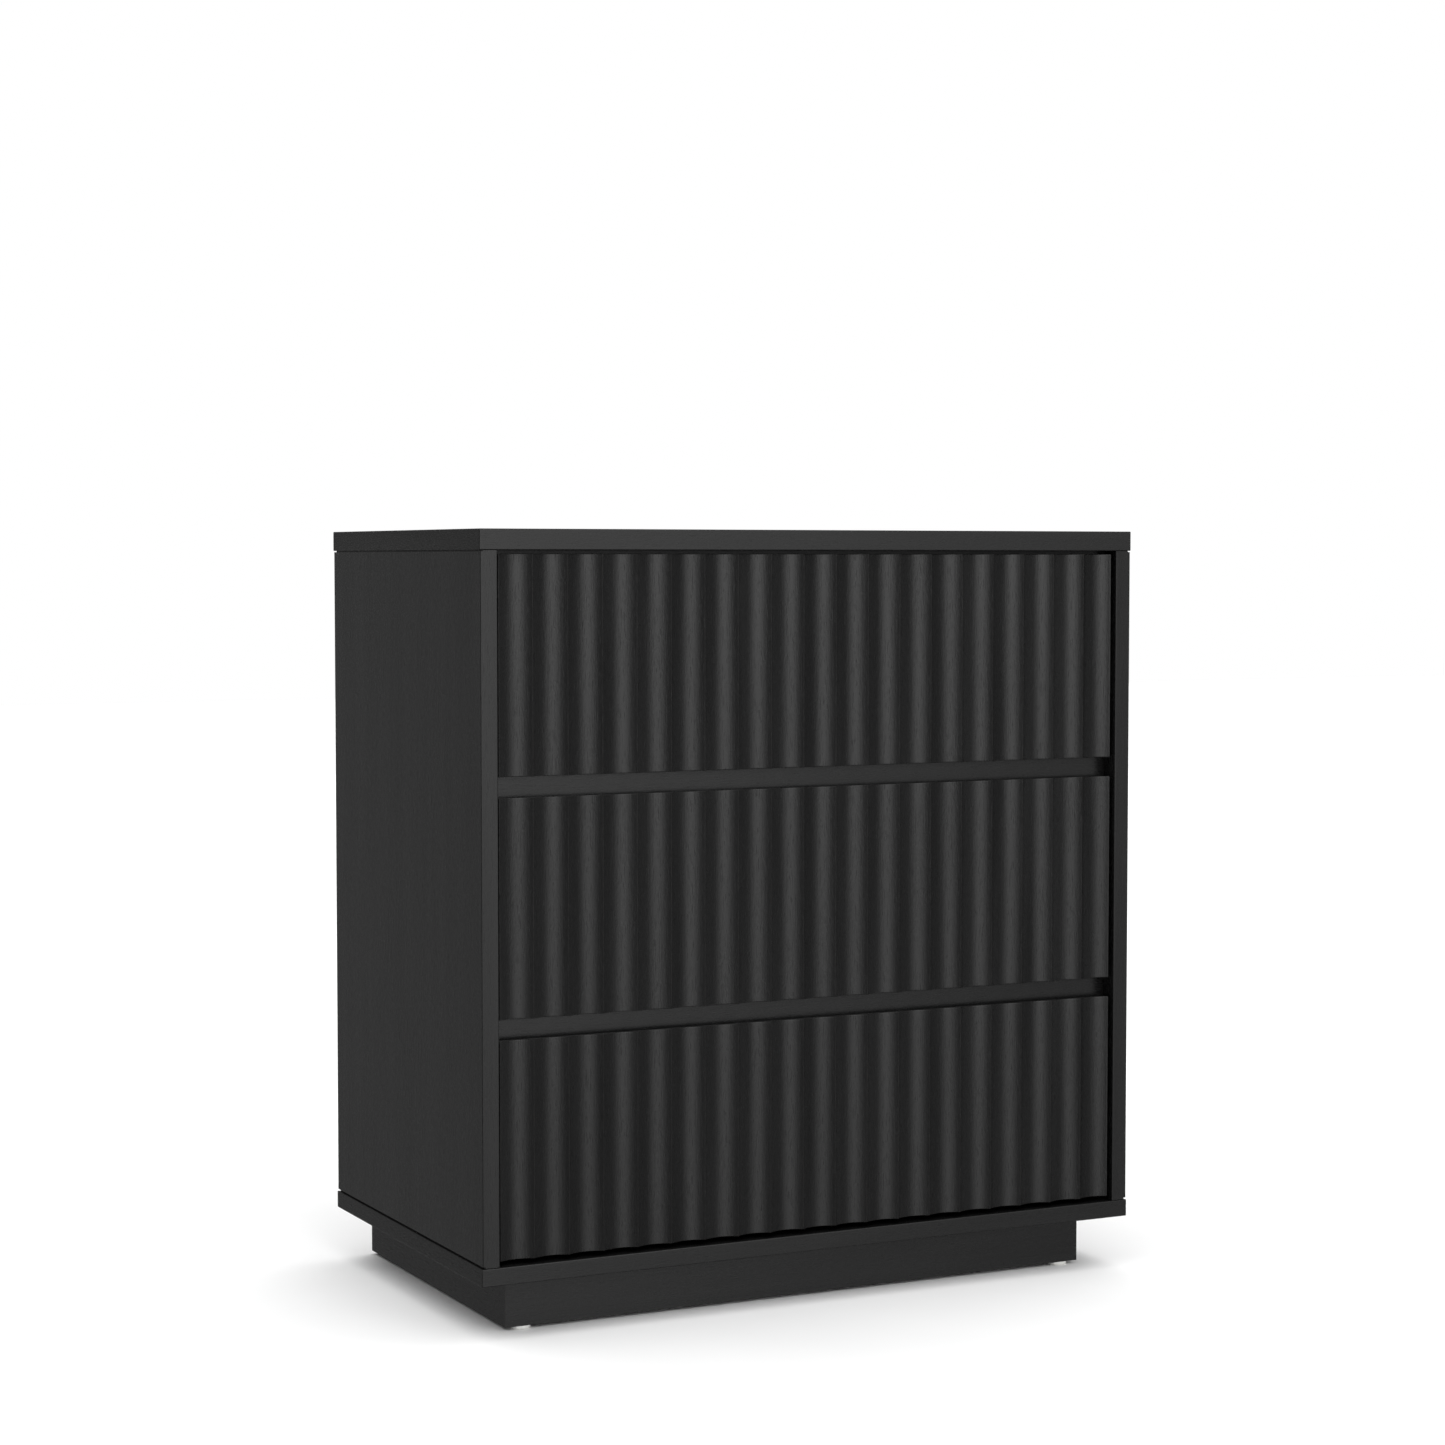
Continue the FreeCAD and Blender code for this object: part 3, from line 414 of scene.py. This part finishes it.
def plated_steel(name, tint, least_roughness, roll_axis):
    """Zinc-plated steel: rolling lines, cloudy passivation, greasy smears and bright rubbed edges."""
    material, tree, shader = new_material(name)
    lines = noise(tree, stretched(tree, streaks(roll_axis, 1500, 9)), 1.0, 4.0, 0.6)
    clouds = noise(tree, stretched(tree, EVEN, 1.0), 70.0, 5.0, 0.62)
    smears = noise(tree, stretched(tree, streaks(roll_axis, 130, 12), 4.0), 1.0, 3.0, 0.5, 0.7)
    specks = noise(tree, stretched(tree, EVEN, 8.0), 2300.0, 1.0, 0.5)
    smear_mask = remap(tree, smears, 0.54, 0.70)
    speck_mask = remap(tree, specks, 0.66, 0.74, 0.0, 0.6)
    worn = edge_wear(tree, 0.8)
    shade = tuple(channel * 0.78 for channel in tint[:3]) + (1,)
    cool = (tint[0] * 0.92, tint[1] * 0.97, tint[2] * 1.04, 1)
    colour = mix_colours(tree, remap(tree, clouds, 0.3, 0.7), tint, cool)
    colour = mix_colours(tree, calc(tree, "MULTIPLY", lines, 0.45), colour, shade)
    colour = mix_colours(tree, speck_mask, colour, STEEL_SPECK)
    colour = mix_colours(tree, worn, colour, STEEL_RUBBED)
    roughness = calc(tree, "MULTIPLY_ADD", lines, 0.16, least_roughness)
    roughness = calc(tree, "MULTIPLY_ADD", clouds, 0.12, roughness)
    roughness = calc(tree, "MULTIPLY_ADD", smear_mask, -0.10, roughness)
    set_surface(tree, shader, colour, roughness, ((lines, 0.03 * MM), (clouds, 0.08 * MM)))
    shader.inputs["Metallic"].default_value = 1.0
    return material


def cast_zinc(name):
    """Die-cast zinc: a dull crystalline skin, darker in its hollows and bright along rubbed edges."""
    material, tree, shader = new_material(name)
    inputs = {"Vector": stretched(tree, EVEN), "Scale": 1400.0, "Randomness": 1.0}
    crystals = add(tree, "ShaderNodeTexVoronoi", inputs).outputs["Distance"]
    clouds = noise(tree, stretched(tree, EVEN, 1.0), 160.0, 4.0, 0.6)
    worn = edge_wear(tree, 0.9, 200.0)
    colour = mix_colours(tree, clouds, ZINC_DARK, ZINC_PALE)
    colour = mix_colours(tree, calc(tree, "MULTIPLY", crystals, 0.4), colour, ZINC_HOLLOW)
    colour = mix_colours(tree, worn, colour, ZINC_RUBBED)
    roughness = calc(tree, "MULTIPLY_ADD", clouds, 0.22, 0.30)
    set_surface(tree, shader, colour, roughness, ((crystals, 0.04 * MM), (clouds, 0.12 * MM)))
    shader.inputs["Metallic"].default_value = 1.0
    return material


def white_polythene(name):
    """Moulded white polythene: finely pitted, a little see-through, grubby near the floor."""
    material, tree, shader = new_material(name)
    pits = noise(tree, stretched(tree, EVEN), 1500.0, 3.0, 0.6)
    cast = noise(tree, stretched(tree, EVEN, 2.0), 120.0, 4.0, 0.6)
    place = surface_parts(tree)[0]
    low = remap(tree, place[Z], 0.0, DIRT_HEIGHT, 1.0, 0.0)
    dirt = calc(tree, "MULTIPLY", low, remap(tree, cast, 0.35, 0.65, 0.2, 0.9))
    worn = edge_wear(tree, 0.6, 300.0)
    colour = mix_colours(tree, cast, POLYTHENE_WHITE, POLYTHENE_SHADE)
    colour = mix_colours(tree, calc(tree, "MULTIPLY", dirt, 0.5), colour, POLYTHENE_DIRT)
    colour = mix_colours(tree, worn, colour, POLYTHENE_WORN)
    roughness = calc(tree, "MULTIPLY_ADD", pits, 0.2, 0.38)
    set_surface(tree, shader, colour, roughness, ((pits, 0.04 * MM),))
    shader.inputs["Subsurface Weight"].default_value = 0.12
    shader.inputs["Subsurface Radius"].default_value = (2 * MM, 2 * MM, 2 * MM)
    return material


# ---------------------------------------------------------------- fluted drawer fronts

FLUTE_PITCH = 39.85 * MM
FLUTE_DEPTH = 5.7 * MM
FLUTE_COUNT = 19
FLUTE_STEPS = 24               # facets across one flute
RIDGE_ROUND = 0.3 * MM         # radius of the ridge between two flutes
RIDGE_STEPS = 4
FRONT_EDGE_ROUND = 0.7 * MM    # eased edges all round a front
EDGE_STEPS = 4
FINGER_BEVEL = 9.0 * MM        # rear edges of the fronts beside a finger channel
SHARP_ANGLE = math.radians(33)  # an edge that turns more than this stays sharp in the shading

FLUTE_RADIUS = ((FLUTE_PITCH / 2) ** 2 + FLUTE_DEPTH ** 2) / (2 * FLUTE_DEPTH)
RIDGE_ANGLE = math.asin(FLUTE_PITCH / 2 / FLUTE_RADIUS)
RIDGE_HALF = RIDGE_ROUND * math.sin(RIDGE_ANGLE)


def flute_sink(offset):
    """How far a flute's surface lies behind the ridges, at a distance from the flute's middle."""
    return FLUTE_DEPTH - FLUTE_RADIUS + math.sqrt(FLUTE_RADIUS ** 2 - offset ** 2)


def ridge_points(x):
    """The rounded ridge at x, as (x, sink) points, without its two ends."""
    foot_sink = flute_sink(FLUTE_PITCH / 2 - RIDGE_HALF)
    points = []
    for step in range(1, RIDGE_STEPS):
        angle = RIDGE_ANGLE * (2 * step / RIDGE_STEPS - 1)
        rise = RIDGE_ROUND * (math.cos(angle) - math.cos(RIDGE_ANGLE))
        points.append((x + RIDGE_ROUND * math.sin(angle), foot_sink - rise))
    return points


def corner_points(half_width):
    """The eased right-hand end of the outline, as (x, sink) points, without its inner end."""
    centre_x = half_width - FRONT_EDGE_ROUND
    inner_sink = flute_sink(centre_x - FLUTE_COUNT // 2 * FLUTE_PITCH)
    points = []
    for step in range(1, EDGE_STEPS + 1):
        angle = math.pi / 2 * step / EDGE_STEPS
        sink = inner_sink + FRONT_EDGE_ROUND * (1 - math.cos(angle))
        points.append((centre_x + FRONT_EDGE_ROUND * math.sin(angle), sink))
    return points


def fluted_line(half_width):
    """A front's outline in plan, as (x, sink) points from left to right about its middle."""
    reach = FLUTE_PITCH / 2 - RIDGE_HALF
    last = FLUTE_COUNT // 2
    corner = corner_points(half_width)
    points = [(-x, sink) for x, sink in reversed(corner)]
    for number in range(-last, last + 1):
        middle = number * FLUTE_PITCH
        start = max(-reach, FRONT_EDGE_ROUND - half_width - middle)
        end = min(reach, half_width - FRONT_EDGE_ROUND - middle)
        for step in range(FLUTE_STEPS + 1):
            offset = start + (end - start) * step / FLUTE_STEPS
            points.append((middle + offset, flute_sink(offset)))
        if number < last:
            points += ridge_points(middle + FLUTE_PITCH / 2)
    return points + corner


def edge_rings(bevelled):
    """Rings from a long edge inwards, as (distance from the edge, front inset, rear inset)."""
    rings = []
    for step in range(EDGE_STEPS + 1):
        angle = math.pi / 2 * (1 - step / EDGE_STEPS)
        distance = FRONT_EDGE_ROUND * (1 - math.sin(angle))
        inset = FRONT_EDGE_ROUND * (1 - math.cos(angle))
        rear_inset = FINGER_BEVEL - distance if bevelled else inset
        rings.append((distance, inset, rear_inset))
    if bevelled:
        rings.append((FINGER_BEVEL, 0.0, 0.0))
    return rings


def add_ring(mesh, outline, middle_x, box, z, inset, rear_inset):
    """One level of a front: a row of vertices along the flutes and a row along the back."""
    low, high = box
    half_width = (high.x - low.x) / 2
    squeeze = (half_width - inset) / half_width
    front = []
    rear = []
    for x, sink in outline:
        place_x = middle_x + x * squeeze
        front.append(mesh.verts.new((place_x, low.y + sink + inset, z)))
        rear.append(mesh.verts.new((place_x, high.y - rear_inset, z)))
    return front, rear


def make_front(name, node, bevel_below, bevel_above):
    """A fluted front at full resolution, in the place of its CAD node."""
    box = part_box(node)
    low, high = box
    outline = fluted_line((high.x - low.x) / 2)
    middle_x = (high.x + low.x) / 2
    levels = [(low.z + distance, inset, rear) for distance, inset, rear in edge_rings(bevel_below)]
    upper = [(high.z - distance, inset, rear) for distance, inset, rear in edge_rings(bevel_above)]
    levels += reversed(upper)
    mesh = bmesh.new()
    rings = [add_ring(mesh, outline, middle_x, box, *level) for level in levels]
    for (front, rear), (next_front, next_rear) in zip(rings, rings[1:]):
        for column in range(len(outline) - 1):
            after = column + 1
            mesh.faces.new((front[column], front[after], next_front[after], next_front[column]))
            mesh.faces.new((rear[after], rear[column], next_rear[column], next_rear[after]))
        mesh.faces.new((rear[0], front[0], next_front[0], next_rear[0]))
        mesh.faces.new((front[-1], rear[-1], next_rear[-1], next_front[-1]))
    for column in range(len(outline) - 1):
        after = column + 1
        front, rear = rings[0]
        mesh.faces.new((front[after], front[column], rear[column], rear[after]))
        front, rear = rings[-1]
        mesh.faces.new((front[column], front[after], rear[after], rear[column]))
    return finish_mesh(name, mesh)


def finish_mesh(name, mesh):
    """An object of a bmesh, shaded smooth except over sharp edges."""
    for face in mesh.faces:
        face.smooth = True
    for edge in mesh.edges:
        edge.smooth = edge.calc_face_angle(0.0) < SHARP_ANGLE
    data = bpy.data.meshes.new(name)
    mesh.to_mesh(data)
    mesh.free()
    piece = bpy.data.objects.new(name, data)
    bpy.context.scene.collection.objects.link(piece)
    weighted = piece.modifiers.new("weighted_normals", "WEIGHTED_NORMAL")
    weighted.keep_sharp = True
    return piece


# ---------------------------------------------------------------- stage

FLOOR_HALF = 14.0
FLOOR_DARK = grey(0.90)
FLOOR_PALE = grey(0.93)
FLOOR_ROUGHNESS = 0.9


def add_floor(material):
    """A large pale floor."""
    mesh = bpy.data.meshes.new("floor")
    signs = ((-1, -1), (1, -1), (1, 1), (-1, 1))
    corners = [(x * FLOOR_HALF, y * FLOOR_HALF, 0) for x, y in signs]
    mesh.from_pydata(corners, [], [(0, 1, 2, 3)])
    floor = bpy.data.objects.new("floor", mesh)
    floor.data.materials.append(material)
    floor.visible_glossy = False
    bpy.context.scene.collection.objects.link(floor)


def floor_material():
    """Matt and faintly mottled."""
    material, tree, shader = new_material("pale_floor")
    mottle = noise(tree, stretched(tree, EVEN), 3.0, 3.0)
    colour = mix_colours(tree, remap(tree, mottle, 0.3, 0.7), FLOOR_DARK, FLOOR_PALE)
    tree.links.new(colour, shader.inputs["Base Color"])
    shader.inputs["Roughness"].default_value = FLOOR_ROUGHNESS
    return material


# ---------------------------------------------------------------- lights

ROOM_LEVEL = 0.16              # from every direction, before the lights are added
CEILING_LEVEL = 0.45           # straight overhead
CEILING_START = 0.35           # height of the direction where the ceiling begins to brighten

# A soft light's azimuth runs from the front, -Y, towards +X. It is full bright as far as the inner
# angle on both sides of its middle, and gone at the outer angle. Height is its spread in elevation.
KEY_MIDDLE = (math.radians(8.0), math.radians(25.0))
KEY_INNER = math.radians(1.0)
KEY_OUTER = math.radians(36.0)
KEY_HEIGHT = math.radians(23.0)
KEY_RADIANCE = 2.8
REAR_MIDDLE = (math.radians(155.0), 0.0)
REAR_INNER = 0.0
REAR_OUTER = math.radians(60.0)
REAR_HEIGHT = math.radians(25.0)
REAR_RADIANCE = 0.15
OVERHEAD_STRENGTH = 3.2
OVERHEAD_SPREAD = math.radians(100.0)


def soft_light(tree, azimuth, elevation, middle, inner, outer, height, radiance):
    """A far soft light, with a bright middle that dies away sideways, upwards and downwards."""
    aside = calc(tree, "WRAP", calc(tree, "SUBTRACT", azimuth, middle[0]), math.pi, -math.pi)
    inputs = {"Value": calc(tree, "ABSOLUTE", aside), "From Min": inner, "From Max": outer,
              "To Min": radiance, "To Max": 0.0}
    sideways = add(tree, "ShaderNodeMapRange", inputs, interpolation_type="SMOOTHSTEP")
    above = calc(tree, "DIVIDE", calc(tree, "SUBTRACT", elevation, middle[1]), height)
    squared = calc(tree, "MULTIPLY", above, above)
    upright = calc(tree, "EXPONENT", calc(tree, "MULTIPLY", squared, -0.5))
    return calc(tree, "MULTIPLY", sideways.outputs["Result"], upright)


def add_world():
    """White to the eye. To the surfaces it is a dim room, with a large soft light in front.

    A much weaker one stands behind on the right.
    """
    world = bpy.data.worlds.new("studio")
    bpy.context.scene.world = world
    world.use_nodes = True
    tree = world.node_tree
    tree.nodes.clear()
    direction = add(tree, "ShaderNodeTexCoord").outputs["Generated"]
    parts = add(tree, "ShaderNodeSeparateXYZ", {0: direction}).outputs
    azimuth = calc(tree, "ARCTAN2", parts[X], calc(tree, "MULTIPLY", parts[Y], -1.0))
    elevation = calc(tree, "ARCSINE", parts[Z])
    level = remap(tree, parts[Z], CEILING_START, 1.0, ROOM_LEVEL, CEILING_LEVEL)
    key = soft_light(tree, azimuth, elevation, KEY_MIDDLE,
                     KEY_INNER, KEY_OUTER, KEY_HEIGHT, KEY_RADIANCE)
    rear = soft_light(tree, azimuth, elevation, REAR_MIDDLE,
                      REAR_INNER, REAR_OUTER, REAR_HEIGHT, REAR_RADIANCE)
    level = calc(tree, "ADD", level, calc(tree, "ADD", key, rear))
    room = add(tree, "ShaderNodeBackground", {"Color": grey(1.0), "Strength": level})
    white = add(tree, "ShaderNodeBackground", {"Color": grey(1.0), "Strength": 1.0})
    seen = add(tree, "ShaderNodeLightPath").outputs["Is Camera Ray"]
    mixed = add(tree, "ShaderNodeMixShader", {0: seen, 1: room.outputs[0], 2: white.outputs[0]})
    output = add(tree, "ShaderNodeOutputWorld")
    tree.links.new(mixed.outputs[0], output.inputs["Surface"])


def add_overhead_light():
    """A broad even light from straight above, for the floor and the top."""
    data = bpy.data.lights.new("overhead", "SUN")
    data.energy = OVERHEAD_STRENGTH
    data.angle = OVERHEAD_SPREAD
    light = bpy.data.objects.new("overhead", data)
    light.visible_glossy = False
    bpy.context.scene.collection.objects.link(light)


# ---------------------------------------------------------------- making the scene

add_camera()
add_floor(floor_material())
add_world()
add_overhead_light()

# One veneer, laid with its grain along the first axis on the faces and along the second on the ends.
FLUTED = black_veneer("black_veneer_fluted", Z, X, seed=0.0, specular=0.51, relief=1.4)
UPRIGHT = black_veneer("black_veneer_upright", Z, Y, seed=5.3, specular=0.51, relief=0.35)
LEVEL = black_veneer("black_veneer_level", X, Y, seed=3.1, specular=0.53, relief=0.45)
DEEP = black_veneer("black_veneer_deep", Y, Z, seed=7.7, specular=0.40, relief=0.45)
HIDDEN = black_veneer("black_veneer_hidden", X, Y, seed=9.1, specular=0.28, relief=0.45)
BACK_BOARD = matt_board("back_board")
BOX_BOARD = linen_board("drawer_box_board")
BOTTOM_BOARD = smooth_board("drawer_bottom_board")
BEECH = beech("beech_dowel")
PINE = pine("pine_block")
GLIDE_PLASTIC = white_polythene("glide_plastic")
RUNNER_STEEL = plated_steel("runner_steel", (0.60, 0.61, 0.62, 1), 0.24, Y)
BEARING_STEEL = plated_steel("bearing_steel", (0.66, 0.67, 0.68, 1), 0.10, Y)
SCREW_STEEL = plated_steel("screw_steel", (0.52, 0.53, 0.54, 1), 0.18, X)
CAM_ZINC = cast_zinc("cam_zinc")

CABINET_LOOKS = {
    "top_panel": LEVEL, "base_panel": LEVEL, "plinth_front": LEVEL, "plinth_back": LEVEL,
    "upper_rail": LEVEL, "lower_rail": LEVEL, "head_rail": HIDDEN,
    "plinth_left": DEEP, "plinth_right": DEEP,
    "left_side_panel": UPRIGHT, "right_side_panel": UPRIGHT,
    "back_panel": BACK_BOARD, "plinth_corner_blocks": PINE, "plinth_screws": SCREW_STEEL,
    "floor_glides": GLIDE_PLASTIC, "case_cam_fittings": CAM_ZINC, "wood_dowels": BEECH,
    "cabinet_runner_screws": SCREW_STEEL,
}
DRAWER_LOOKS = {
    "drawer_front": FLUTED, "drawer_left_side": BOX_BOARD, "drawer_right_side": BOX_BOARD,
    "drawer_back": BOX_BOARD, "drawer_bottom": BOTTOM_BOARD, "drawer_cam_fittings": CAM_ZINC,
    "drawer_runner_screws": SCREW_STEEL, "runner_ball_cages": BEARING_STEEL,
    "left_cabinet_member": RUNNER_STEEL, "right_cabinet_member": RUNNER_STEEL,
    "left_middle_member": RUNNER_STEEL, "right_middle_member": RUNNER_STEEL,
    "left_drawer_member": RUNNER_STEEL, "right_drawer_member": RUNNER_STEEL,
}


def paint(node, material):
    """Gives a CAD node its material."""
    mesh = NODES[node].data
    mesh.materials.clear()
    mesh.materials.append(material)


for node, material in CABINET_LOOKS.items():
    paint(node, material)
for drawer in DRAWERS:
    for suffix, material in DRAWER_LOOKS.items():
        paint(drawer + "_" + suffix, material)

for index, drawer in enumerate(DRAWERS):
    node = drawer + "_drawer_front"
    front = make_front(drawer + "_fluted_front", node, index > 0, index < len(DRAWERS) - 1)
    front.data.materials.append(FLUTED)
    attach(front, drawer + "_drawer")
    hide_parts(node)

bpy.context.scene.view_settings.view_transform = "Standard"
